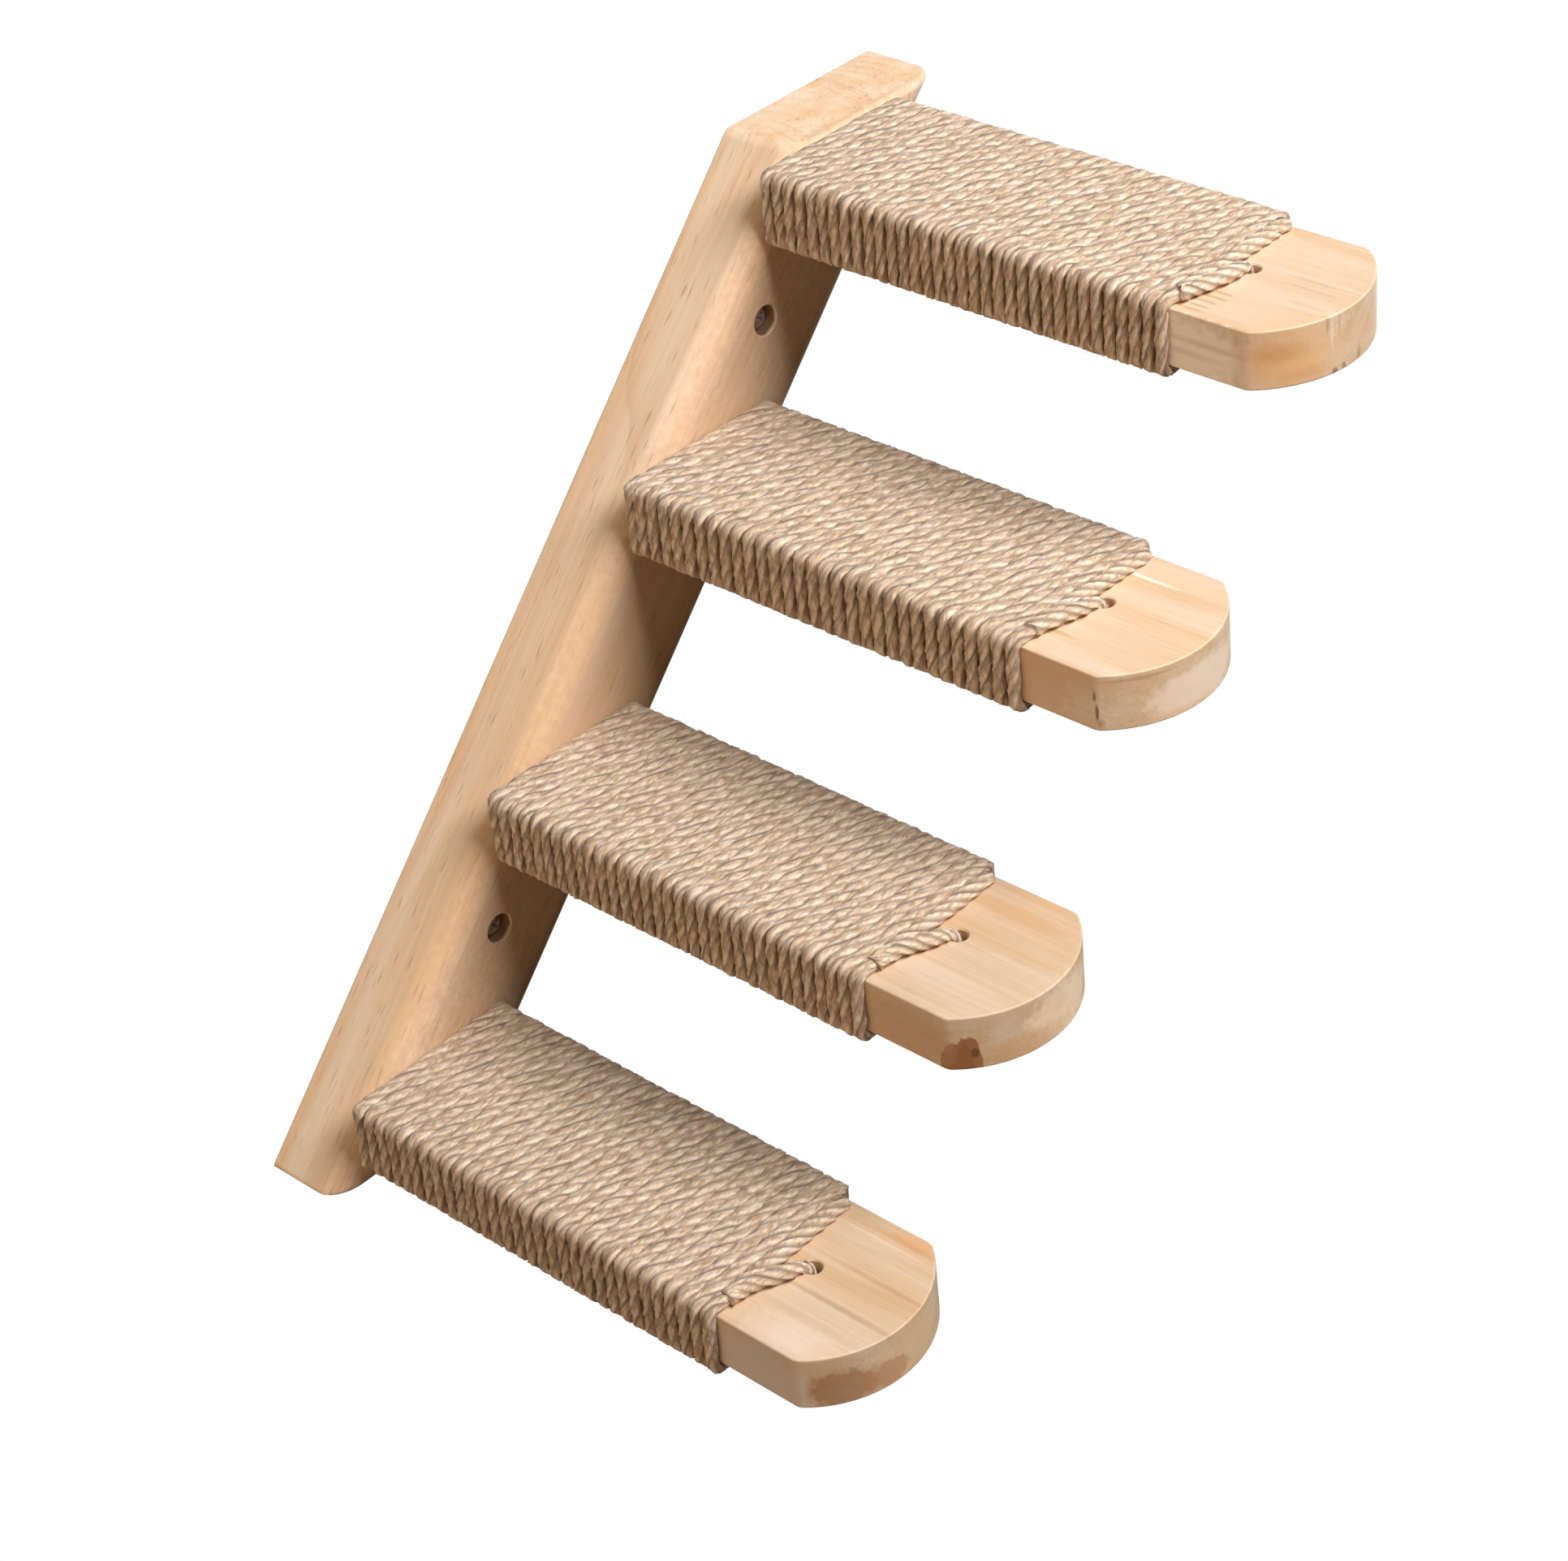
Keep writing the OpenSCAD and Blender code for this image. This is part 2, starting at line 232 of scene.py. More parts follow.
# Pine: grain lines run one way, with rings where the wood is cut across
def planedPine(name, look, middle, turn):
    material, tree = newMaterial(name)
    rng = random.Random(look["seed"])
    place = addNode(tree, "ShaderNodeTexCoord").outputs["Object"]
    local = addNode(tree, "ShaderNodeMapping", {"Vector": place, "Scale": grey(1 / mm),
                    "Location": [-c for c in middle]}).outputs[0]
    grain = addNode(tree, "ShaderNodeMapping", {"Vector": local, "Rotation": turn,
                    "Location": (rng.uniform(200, 900), 0, 0)}).outputs[0]

    # the rings wander slowly along the tree
    slow = addNode(tree, "ShaderNodeMapping", {"Vector": grain, "Scale": wood["wander"]})
    wander = addNode(tree, "ShaderNodeTexNoise", {"Vector": slow.outputs[0], "Scale": 1.0, "Detail": 2.0})
    centred = addNode(tree, "ShaderNodeVectorMath", {0: wander.outputs["Color"], 1: grey(0.5)},
                      operation="SUBTRACT")
    swung = addNode(tree, "ShaderNodeVectorMath", {0: centred.outputs[0], 2: grain,
                    1: (0, wood["swing"], wood["swing"])}, operation="MULTIPLY_ADD")
    across = addNode(tree, "ShaderNodeVectorMath",
                     {0: swung.outputs[0], 1: (0, -look["pith"][0], -look["pith"][1])}, operation="ADD")
    flat = addNode(tree, "ShaderNodeVectorMath", {0: across.outputs[0], 1: (0, 1, 1)}, operation="MULTIPLY")
    radius = addNode(tree, "ShaderNodeVectorMath", {0: flat.outputs[0]}, operation="LENGTH")
    turns = addNode(tree, "ShaderNodeMath", {0: radius.outputs["Value"], 1: 1 / wood["ringSpacing"]},
                    operation="MULTIPLY")
    part = addNode(tree, "ShaderNodeMath", {0: turns.outputs[0]}, operation="FRACT")
    ring = addNode(tree, "ShaderNodeValToRGB", {"Fac": part.outputs[0]}, stops=[
        (0.0, grey(0.0)), (0.45, grey(0.12)), (0.8, grey(0.7)), (0.93, grey(1.0)), (1.0, grey(0.0))])

    # rings show in some stretches and fade in others
    patches = addNode(tree, "ShaderNodeMapping", {"Vector": grain, "Scale": wood["patches"]})
    patch = addNode(tree, "ShaderNodeTexNoise", {"Vector": patches.outputs[0], "Scale": 1.0, "Detail": 1.0})
    fade = addNode(tree, "ShaderNodeMapRange", {
        "Value": patch.outputs["Fac"], "From Min": wood["patchRange"][0], "From Max": wood["patchRange"][1],
        "To Min": wood["fewestRings"], "To Max": look["rings"]})
    ringMix = addNode(tree, "ShaderNodeMath", {0: ring.outputs[0], 1: fade.outputs[0]},
                      operation="MULTIPLY")

    # fibres: long thin streaks
    thin = 1 / wood["fibreWidth"]
    stretch = addNode(tree, "ShaderNodeMapping", {"Vector": grain,
                      "Scale": (thin / wood["fibreLength"], thin, thin)})
    fibre = addNode(tree, "ShaderNodeTexNoise", {"Vector": stretch.outputs[0], "Scale": 0.6, "Detail": 3.0})
    broad = addNode(tree, "ShaderNodeMapping", {"Vector": grain, "Scale": wood["bands"]})
    band = addNode(tree, "ShaderNodeTexNoise", {"Vector": broad.outputs[0], "Scale": 1.0, "Detail": 2.0})

    shades = [[c * look["shade"] for c in linear(wood[k])] for k in ("pale", "warm", "late")]
    base = addNode(tree, "ShaderNodeValToRGB", {"Fac": band.outputs["Fac"]}, stops=[
        (0.34, shades[0]), (0.66, shades[1])])
    ringed = addNode(tree, "ShaderNodeMix", {0: ringMix.outputs[0], 6: base.outputs[0], 7: (*shades[2], 1)},
                     data_type="RGBA")
    streak = addNode(tree, "ShaderNodeMapRange", {"Value": fibre.outputs["Fac"], "From Min": 0.3,
                     "From Max": 0.7, "To Min": wood["streaks"][0], "To Max": wood["streaks"][1]})
    colour = addNode(tree, "ShaderNodeVectorMath", {0: ringed.outputs[2], 1: streak.outputs[0]},
                     operation="MULTIPLY").outputs[0]

    # pores: short dark dashes along the grain
    dashes = addNode(tree, "ShaderNodeMapping", {"Vector": grain, "Scale": wood["dashes"]})
    dash = addNode(tree, "ShaderNodeTexNoise", {"Vector": dashes.outputs[0], "Scale": 1.0, "Detail": 0.0})
    pore = addNode(tree, "ShaderNodeMapRange", {
        "Value": dash.outputs["Fac"], "From Min": wood["dashRange"][0], "From Max": wood["dashRange"][1],
        "To Min": 0.0, "To Max": look["pores"]})
    colour = addNode(tree, "ShaderNodeMix", {0: pore.outputs[0], 6: colour, 7: (*linear(wood["pore"]), 1)},
                     data_type="RGBA").outputs[2]

    # marks: balls of colour, stretched and cut by the wood's surface, with edges that noise makes uneven
    ragged = addNode(tree, "ShaderNodeTexNoise", {"Vector": local, "Scale": wood["ragged"], "Detail": 3.0})
    for spot, size, hue, strength, softness in look["marks"]:
        moved = addNode(tree, "ShaderNodeVectorMath", {0: local, 1: [-c for c in spot]}, operation="ADD")
        shrunk = addNode(tree, "ShaderNodeVectorMath", {0: moved.outputs[0], 1: [1 / c for c in size]},
                         operation="MULTIPLY")
        away = addNode(tree, "ShaderNodeVectorMath", {0: shrunk.outputs[0]}, operation="LENGTH")
        share = min(0.8, 0.25 + 2.4 * softness)  # a sharp mark has a less ragged edge
        edge = 0.75 + share / 2  # where the noise is middling, three quarters of the way out
        rough = addNode(tree, "ShaderNodeMath", {0: ragged.outputs["Fac"], 1: share,
                        2: away.outputs["Value"]}, operation="MULTIPLY_ADD")
        fall = addNode(tree, "ShaderNodeMapRange", {
            "Value": rough.outputs[0], "From Min": edge + softness / 2, "From Max": edge - softness / 2,
            "To Min": 0.0, "To Max": strength})
        colour = addNode(tree, "ShaderNodeMix", {0: fall.outputs[0], 6: colour, 7: (*linear(hue), 1)},
                         data_type="RGBA").outputs[2]

    height = addNode(tree, "ShaderNodeMath", {0: ringMix.outputs[0], 1: 0.5, 2: fibre.outputs["Fac"]},
                     operation="MULTIPLY_ADD")
    bump = addNode(tree, "ShaderNodeBump", {"Height": height.outputs[0], "Strength": 1.0,
                   "Distance": wood["bumpHeight"] * mm})
    shader = addNode(tree, "ShaderNodeBsdfPrincipled", {"Base Color": colour, "IOR": wood["ior"],
                     "Roughness": wood["roughness"], "Normal": bump.outputs[0]})
    addNode(tree, "ShaderNodeOutputMaterial", {"Surface": shader.outputs[0]})
    return material


# Jute: a dry plant fibre spun into yarns and laid in four soft strands, for a matt, furry, streaky surface
rope = {
    "hollow": "#967658",  # painted shade, deep between yarns, strands and turns
    "fibreDark": "#bb9b76",
    "fibre": "#e2c9a7",
    "fibreLight": "#f5e3c8",
    "fibreWidth": 0.3,  # mm, coarser than the real 0.05 mm so that it shows
    "fibreLength": 8,  # times its width
    "yarnWidth": 0.75,  # mm
    "yarnLength": 2.2,  # times its width
    "tuftRepeats": (0.05, 0.3, 1),  # in a mm, for tufts 20 mm long and 3 mm wide
    "fibreLean": 0.2,  # mm sideways for each mm along the rope
    "patternRadius": 2.7,  # mm
    "yarnShare": 1.5,  # weight of the yarns in tone and relief, beside the fibres' 1
    "tuftShare": 0.7,  # weight of the tufts in tone
    "toneRange": (1.2, 2.0),  # of the weighted sum, from dark to light
    "hollowRange": (0.15, 0.75),  # of the painted shading, from full painted shade to none
    "roughness": 0.85,
    "ior": 1.5,
    "sheen": 0.12,
    "bumpHeight": 0.3,  # mm
    "gap": 0.02,  # mm to the wood
    "thickness": 4.1,  # mm, pressed flat on the board
    "bend": 2.6,  # mm, radius of the rope's middle line round a corner
    "sideGain": 0.4,  # mm along the board on each of its sides
    "flatSpread": 1.07,  # width on the flat faces as a share of the pitch, so that turns touch
    "sideSqueeze": 0.15,  # narrower on the board's sides
    "fullness": 2.9,  # of its pressed section: 2 is an ellipse, more is squarer
    "sideFullness": -0.6,
    "cornerFullness": 3,
    "easing": (4, 12),  # mm before the last turn's end where it starts to loosen, and mm that it takes
    "looseHalf": 2.8,  # mm, half its thickness where it runs to the hole
    "looseSpread": 1.22,  # wider than thick where it lies loose on the board
    "dip": [(-1.8, 0.7, -1.0), (-0.4, 0.6, -3.8)],  # mm from the hole's middle and from the run, going in
    "depth": 14,  # mm below the board's top, where it ends in the hole
    "thinEnd": (18, 5, 0.88),  # mm before its end where it thins, mm that it takes, and share that is left
    "turnOver": 3,  # how far its outside turns over towards the hole
    "strands": 4,
    "lays": (36.0, 24.0),  # mm of rope for one turn of its strands: on the board, and where it is loose
    "valleys": (0.94, 0.84),  # height between two strands, as a share of a strand's top
    "tufts": 0.11,  # height of the uneven yarns, as a share of the radius
    "tuftFaces": (0.55, 0.7),  # their share on flat faces, and how much more on the sides
    "tuftSink": 0.3,
    "looseTufts": 0.7,  # fewer by this share where the rope is loose
    "grooveShade": (4, 0.8),  # painted shade in the grooves between turns, on the sides: how narrow and how dark it is
    "crowns": (0.3, 0.2, 0.3),  # painted light: paleness on the strands' tops and the raised tufts, and away from the painted groove shade
    "looseValleyLight": 0.3,  # painted light left in a valley where the rope is loose
    # unevenness: its size, and the mm of rope from one change to the next
    "waves": {
        "width": (0.04, 23),
        "press": (0.1, 4.5),  # of the width where it is wound
        "height": (0.04, 17),
        "section": (0.5, 6),
        "sway": (0.15, 31),  # mm along the board
        "wobble": (0.15, 9),
        "lift": (0.1, 19),  # mm off the board
        "twist": (0.8, 45),  # radians
        "flutter": (0.3, 11),
        "tufts": (1, 2.3),
        "grooveShade": (0.5, 4),
        "yarns": (0.03, 7),
    },
    "pointEvery": 0.5,  # mm between points of the middle line
    "ringEvery": 1.25,  # mm between rings of the mesh
    "bendSteps": 12,
    "strandPoints": 4,
    "tail": (14, 60),  # points of the last turn that are smoothed with the end, and how often
    "leadAt": 12,  # point of the end that gives its way over the top
    # stray fibres, in mm and in shares of their length
    "stray": {
        "count": 320,
        "radius": 0.05,
        "length": (1.5, 5.5),
        "root": 0.25,  # how deep it starts
        "along": (0.5, 1),
        "aside": (-0.7, 0.7),
        "outward": (0.15, 0.6),
        "curl": (-0.3, 0.3),
        "sag": 0.28,
        "taper": 0.75,
        "rings": 5,
        "sides": 3,
        "bareRings": (4, 12),  # of the rope, at its start and its end
        "facing": 0.25,  # only where the surface faces away from the board
    },
}

# Each winding: the turns between its first and last full crossing of the top (mm from the wall),
# its slant across the top, and the middle line of its end over the top of the board down to the hole
windings = {
    "rope_1": {"turns": 32, "first": 36.7, "last": 200.6, "slant": 0.4, "seed": 101,
               "run": [(-30, 206.9), (-24, 208.0), (-16, 210.3), (-10, 211.9), (-5, 212.9)]},
    "rope_2": {"turns": 29, "first": 36.9, "last": 201.1, "slant": 2.6, "seed": 202,
               "run": [(-30, 206.4), (-24, 207.0), (-18, 208.6), (-12, 210.8), (-6, 212.4)]},
    "rope_3": {"turns": 31, "first": 36.7, "last": 197.4, "slant": 0.8, "seed": 303,
               "run": [(-30, 203.0), (-24, 203.0), (-18.5, 203.9), (-12.9, 206.4), (-6, 210.4)]},
    "rope_4": {"turns": 29, "first": 36.9, "last": 196.2, "slant": 0.2, "seed": 404,
               "run": [(-30, 203.0), (-24, 203.2), (-17, 204.6), (-12.9, 206.6), (-6, 210.8)]},
}


def juteFibre(name):
    material, tree = newMaterial(name)
    rest = addNode(tree, "ShaderNodeAttribute", attribute_name="restPlace")
    crown = addNode(tree, "ShaderNodeAttribute", attribute_name="crown")
    thin, thick = 0.5 / rope["fibreWidth"], 0.5 / rope["yarnWidth"]  # a light and a dark one in a repeat
    stretch = addNode(tree, "ShaderNodeMapping", {"Vector": rest.outputs["Vector"],
                      "Scale": (thin / rope["fibreLength"], thin, 1)})
    fibre = addNode(tree, "ShaderNodeTexNoise", {"Vector": stretch.outputs[0], "Scale": 1.0, "Detail": 3.0,
                    "Roughness": 0.6})
    spun = addNode(tree, "ShaderNodeMapping", {"Vector": rest.outputs["Vector"],
                   "Scale": (thick / rope["yarnLength"], thick, 1), "Location": (31, 7, 0)})
    yarn = addNode(tree, "ShaderNodeTexNoise", {"Vector": spun.outputs[0], "Scale": 1.0, "Detail": 2.0})
    longer = addNode(tree, "ShaderNodeMapping", {"Vector": rest.outputs["Vector"],
                     "Scale": rope["tuftRepeats"]})
    tuft = addNode(tree, "ShaderNodeTexNoise", {"Vector": longer.outputs[0], "Scale": 1.0, "Detail": 2.0})
    relief = addNode(tree, "ShaderNodeMath", {0: yarn.outputs["Fac"], 1: rope["yarnShare"],
                     2: fibre.outputs["Fac"]}, operation="MULTIPLY_ADD")
    both = addNode(tree, "ShaderNodeMath", {0: tuft.outputs["Fac"], 1: rope["tuftShare"],
                   2: relief.outputs[0]}, operation="MULTIPLY_ADD")
    tone = addNode(tree, "ShaderNodeMapRange", {"Value": both.outputs[0],
                   "From Min": rope["toneRange"][0], "From Max": rope["toneRange"][1]})
    colour = addNode(tree, "ShaderNodeValToRGB", {"Fac": tone.outputs[0]}, stops=[
        (0.05, linear(rope["fibreDark"])), (0.45, linear(rope["fibre"])),
        (0.95, linear(rope["fibreLight"]))])
    # painted shade: the hollows and grooves are mixed towards the dark hollow colour, and the tops stay
    # pale
    depth = addNode(tree, "ShaderNodeMapRange", {
        "Value": crown.outputs["Fac"], "From Min": rope["hollowRange"][0],
        "From Max": rope["hollowRange"][1], "To Min": 0.1, "To Max": 1.0})
    shaded = addNode(tree, "ShaderNodeMix", {0: depth.outputs[0], 6: (*linear(rope["hollow"]), 1),
                     7: colour.outputs[0]}, data_type="RGBA")
    bump = addNode(tree, "ShaderNodeBump", {"Height": relief.outputs[0], "Strength": 1.0,
                   "Distance": rope["bumpHeight"] * mm})
    shader = addNode(tree, "ShaderNodeBsdfPrincipled", {"Base Color": shaded.outputs[2],
                     "Roughness": rope["roughness"], "IOR": rope["ior"], "Sheen Weight": rope["sheen"],
                     "Sheen Roughness": 0.5, "Normal": bump.outputs[0]})
    addNode(tree, "ShaderNodeOutputMaterial", {"Surface": shader.outputs[0]})
    return material


# Zinc-plated steel: drawn and plated wire, a greyish metal with a soft shine and dull spots
zinc = {
    "bright": "#ece0cd",
    "dull": "#b9aa95",
    "roughness": (0.5, 0.75),
    "spot": 0.6,  # mm between dull spots
    "spotRange": (0.35, 0.65),  # of the noise, from dull to bright
    "bumpHeight": 0.02,  # mm
}


def zincSteel(name):
    material, tree = newMaterial(name)
    place = addNode(tree, "ShaderNodeTexCoord").outputs["Object"]
    spots = addNode(tree, "ShaderNodeTexNoise", {"Vector": place, "Scale": 1 / (zinc["spot"] * mm),
                    "Detail": 3.0})
    low, high = zinc["spotRange"]
    colour = addNode(tree, "ShaderNodeValToRGB", {"Fac": spots.outputs["Fac"]}, stops=[
        (low, linear(zinc["dull"])), (high, linear(zinc["bright"]))])
    rough = addNode(tree, "ShaderNodeMapRange", {"Value": spots.outputs["Fac"], "From Min": low,
                    "From Max": high, "To Min": zinc["roughness"][1], "To Max": zinc["roughness"][0]})
    bump = addNode(tree, "ShaderNodeBump", {"Height": spots.outputs["Fac"], "Strength": 0.6,
                   "Distance": zinc["bumpHeight"] * mm})
    shader = addNode(tree, "ShaderNodeBsdfPrincipled", {"Base Color": colour.outputs[0], "Metallic": 1.0,
                     "Roughness": rough.outputs[0], "Normal": bump.outputs[0]})
    addNode(tree, "ShaderNodeOutputMaterial", {"Surface": shader.outputs[0]})
    return material


# points are in mm
def newPiece(name, points, faces):
    mesh = bpy.data.meshes.new(name)
    mesh.from_pydata((np.asarray(points, float) * mm).tolist(), [], faces)
    mesh.update()
    piece = bpy.data.objects.new(name, mesh)
    scene.collection.objects.link(piece)
    return piece


# Makes the modifiers' result the piece's own mesh
def settle(piece):
    graph = bpy.context.evaluated_depsgraph_get()
    shaped = bpy.data.meshes.new_from_object(piece.evaluated_get(graph))
    piece.modifiers.clear()
    piece.data = shaped


def addModifier(piece, kind, **settings):
    modifier = piece.modifiers.new(kind.lower(), kind)
    for name, value in settings.items():
        setattr(modifier, name, value)


# Prism between two outlines of equally many points
def prism(name, low, high):
    count = len(low)
    sides = [(k, (k + 1) % count, count + (k + 1) % count, count + k) for k in range(count)]
    return newPiece(name, [*low, *high], [list(range(count))[::-1], list(range(count, 2 * count)), *sides])


# Turned shape for cutting holes: (distance from the start, radius) pairs in mm along a direction
def turned(name, start, direction, profile, sides=48):
    axis = Vector(direction).normalized()
    side = axis.orthogonal().normalized()
    other = axis.cross(side)
    points = []
    for along, radius in profile:
        for k in range(sides):
            angle = 2 * math.pi * k / sides
            points.append(Vector(start) + axis * along
                          + (side * math.cos(angle) + other * math.sin(angle)) * radius)
    faces = [list(range(sides))[::-1],
             list(range((len(profile) - 1) * sides, len(profile) * sides))]
    for r in range(len(profile) - 1):
        faces += [(r * sides + k, r * sides + (k + 1) % sides,
                   (r + 1) * sides + (k + 1) % sides, (r + 1) * sides + k) for k in range(sides)]
    return newPiece(name, points, faces)


def cut(piece, cutters):
    for cutter in cutters:
        addModifier(piece, "BOOLEAN", operation="DIFFERENCE", solver="EXACT", object=cutter)
    settle(piece)
    for cutter in cutters:
        bpy.data.objects.remove(cutter)


def finishWood(piece, node, material):
    piece.data.materials.clear()
    piece.data.materials.append(material)
    piece.data.shade_smooth()
    piece.data.set_sharp_from_angle(angle=math.radians(wood["sharpAngle"]))
    addModifier(piece, "WEIGHTED_NORMAL", keep_sharp=True)
    settle(piece)
    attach(piece, "root")
    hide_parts(node)


clear = 1  # mm that a cutter starts outside the wood

board = {
    "half": 33.5,  # mm, half of the width
    "tip": 254.0,  # from the wall
    "tipRadius": 41.0,
    "corner": 5.0,  # radius where a side meets the tip
    "back": 34.0,  # from the wall, where it meets the rail
    "edge": 0.7,  # rounding of the edges
    "cornerSteps": 8,
    "tipSteps": 24,
    "holeRadius": 3.25,
    "holeRim": 0.5,
    "holeAt": (2.0, 213.0),  # from the middle line and from the wall
    "screwApart": 36.0,
    "screwHole": 2.15,  # radius
    "screwSeat": 4.65,  # radius of the countersink in the rail's back
    "screwDepth": 65.2,
}


# Seen from above: across the board, and out from the wall
def boardOutline():
    centreY = board["tip"] - board["tipRadius"]
    cornerX = board["half"] - board["corner"]
    cornerY = math.sqrt((board["tipRadius"] - board["corner"]) ** 2 - cornerX ** 2)
    meet = math.atan2(cornerY, cornerX)
    near = [(-board["half"], board["back"])]
    for k in range(board["cornerSteps"] + 1):
        angle = meet * k / board["cornerSteps"]
        near.append((-cornerX - board["corner"] * math.cos(angle),
                     centreY + cornerY + board["corner"] * math.sin(angle)))
    for k in range(1, board["tipSteps"]):
        angle = meet + (math.pi / 2 - meet) * k / board["tipSteps"]
        near.append((-board["tipRadius"] * math.cos(angle), centreY + board["tipRadius"] * math.sin(angle)))
    return near + [(0, board["tip"])] + [(-x, y) for x, y in near[::-1]]


# A step's middle line, underside and top, in mm
def stepMiddle(number):
    low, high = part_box(f"step_{number}")
    return (low[0] + high[0]) / 2 / mm, low[2] / mm, high[2] / mm


# Two countersunk holes from the rail's back into a board
def screwCutters(number):
    middle, low, high = stepMiddle(number)
    seatDepth = board["screwSeat"] - board["screwHole"]
    profile = [(0, board["screwSeat"] + clear), (seatDepth + clear, board["screwHole"]),
               (board["screwDepth"], board["screwHole"])]
    return [turned("screwHole", (middle + side * board["screwApart"] / 2, clear, (low + high) / 2),
                   (0, -1, 0), profile, sides=32) for side in (-1, 1)]


def makeBoard(number):
    middle, low, high = stepMiddle(number)
    outline = [(middle + x, -y) for x, y in boardOutline()]
    piece = prism(f"pineStep{number}", [(x, y, low) for x, y in outline],
                  [(x, y, high) for x, y in outline])
    addModifier(piece, "BEVEL", width=board["edge"] * mm, segments=3, limit_method="ANGLE",
                angle_limit=math.radians(50))
    settle(piece)
    holeX, holeY = board["holeAt"]
    radius, rim, thick = board["holeRadius"], board["holeRim"], high - low
    profile = [(0, radius + rim + clear), (clear + rim, radius), (thick + clear - rim, radius),
               (thick + 2 * clear, radius + rim + clear)]
    hole = turned("ropeHole", (middle + holeX, -holeY, high + clear), (0, 0, -1), profile)
    cut(piece, [hole, *screwCutters(number)])
    look = boardLooks[f"step_{number}"]
    alongBoard = (0, 0, -math.pi / 2)
    finishWood(piece, f"step_{number}",
               planedPine(f"planedPineStep{number}", look, (middle, 0, high), alongBoard))


rail = {
    "slope": 46.0,  # degrees
    "halfHeight": 143.87,  # mm
    "thickness": 34.0,
    "halfWidth": 28.0,
    "rounding": 10.0,  # of the two long front edges
    "roundingSteps": 8,
    "edge": 2.8,  # rounding round its two ends
    "backEdge": 0.8,  # rounding of the edges on the wall
    "screwsApart": 233.0,
    "screwShift": 6.5,  # up from the rail's middle line
    "recess": 5.6,  # radius
    "recessRim": 0.4,
    "recessDepth": 6.0,
    "screwHole": 2.4,  # radius
}


def makeRail():
    slope = math.radians(rail["slope"])
    section = [(0, rail["halfWidth"]), (rail["thickness"] - rail["rounding"], rail["halfWidth"])]
    for k in range(1, rail["roundingSteps"] + 1):
        angle = math.pi / 2 * k / rail["roundingSteps"]
        section.append((rail["thickness"] - rail["rounding"] * (1 - math.sin(angle)),
                        rail["halfWidth"] - rail["rounding"] * (1 - math.cos(angle))))
    section += [(out, -width) for out, width in section[::-1]]
    ends = []
    for height in (-rail["halfHeight"], rail["halfHeight"]):
        ends.append([])
        for out, width in section:
            along = (height - width * math.cos(slope)) / math.sin(slope)
            ends[-1].append((along * math.cos(slope) - width * math.sin(slope), -out, height))
    piece = prism("pineRail", *ends)
    points, edges = piece.data.vertices, piece.data.edges
    weights = piece.data.attributes.new("bevel_weight_edge", "FLOAT", "EDGE")
    same = 0.1 * mm
    for edge, weight in zip(edges, weights.data):
        first, second = (points[k].co for k in edge.vertices)
        if max(abs(first.y), abs(second.y)) < same:  # on the wall
            weight.value = rail["backEdge"] / rail["edge"]
        elif abs(first.z - second.z) < same:  # round an end
            weight.value = 1
        else:  # along the front, where the section is round already
            weight.value = 0
    addModifier(piece, "BEVEL", width=rail["edge"] * mm, segments=4, limit_method="WEIGHT")
    settle(piece)
    rim, bottom = clear + rail["recessRim"], clear + rail["recessDepth"]
    profile = [(0, rail["recess"] + rim), (rim, rail["recess"]), (bottom, rail["recess"]),
               (bottom, rail["screwHole"]), (rail["thickness"] + 2 * clear, rail["screwHole"])]
    cutters = []
    for side in (-1, 1):
        along = side * rail["screwsApart"] / 2
        x = along * math.cos(slope) - rail["screwShift"] * math.sin(slope)
        z = along * math.sin(slope) + rail["screwShift"] * math.cos(slope)
        cutters.append(turned("recess", (x, -rail["thickness"] - clear, z), (0, 1, 0), profile))
    for number in range(1, 5):
        cutters += screwCutters(number)
    cut(piece, cutters)
    finishWood(piece, "rail", planedPine("planedPineRail", boardLooks["rail"], (0, 0, 0), (0, slope, 0)))


makeRail()
for number in range(1, 5):
    makeBoard(number)
print("rail and boards made")


# Smooth noise along a line: random values every so many mm, joined by a soft curve
def waver(rng, length, every, places):
    count = int(length / every) + 3
    values = rng.uniform(-1, 1, count)
    at = places / every
    low = np.clip(at.astype(int), 0, count - 2)
    part = at - low
    part = part * part * (3 - 2 * part)
    return values[low] * (1 - part) + values[low + 1] * part


def unit(rows):
    return rows / np.linalg.norm(rows, axis=1)[:, None]


# Distance run at each point of a line
def distances(line):
    return np.concatenate([[0], np.cumsum(np.linalg.norm(np.diff(line, axis=0), axis=1))])


# Rows of three values at the given distances
def sample(rows, run, places):
    return np.stack([np.interp(places, run, rows[:, k]) for k in range(3)], 1)


# Middle line of one turn, from the middle of the underside up the near side, over the top and down
# the far side: distance run, and x, height and direction outwards
def turnShape(thick):
    lift = rope["gap"] + rope["thickness"] / 2
    bend = rope["bend"]
    halfX = board["half"] + lift
    top, bottom = lift, -thick - lift
    corners = [(-halfX + bend, bottom + bend, 270), (-halfX + bend, top - bend, 180),
               (halfX - bend, top - bend, 90), (halfX - bend, bottom + bend, 0)]
    points = [(0.0, bottom, 270.0)]
    for x, z, start in corners:
        for k in range(rope["bendSteps"] + 1):
            angle = start - 90 * k / rope["bendSteps"]
            outX, outZ = math.cos(math.radians(angle)), math.sin(math.radians(angle))
            points.append((x + bend * outX, z + bend * outZ, angle))
    points.append((0.0, bottom, -90.0))
    points = np.array(points)
    return distances(points[:, :2]), points


# Distances at which the four bends of a turn start: low and high on the near side, high and low on the far
def bendStarts(run):
    return run[1:-1:rope["bendSteps"] + 1]


# Distance along the board gained over one turn: most of it is on the underside
def turnGain(run, pitch, slant):
    before, after = 0.5 * (pitch - slant), 0.5 * (pitch + slant)  # crossing the top
    gained = [0, before - rope["sideGain"], before, after, after + rope["sideGain"], pitch]
    return np.column_stack([[0, *bendStarts(run), run[-1]], gained])


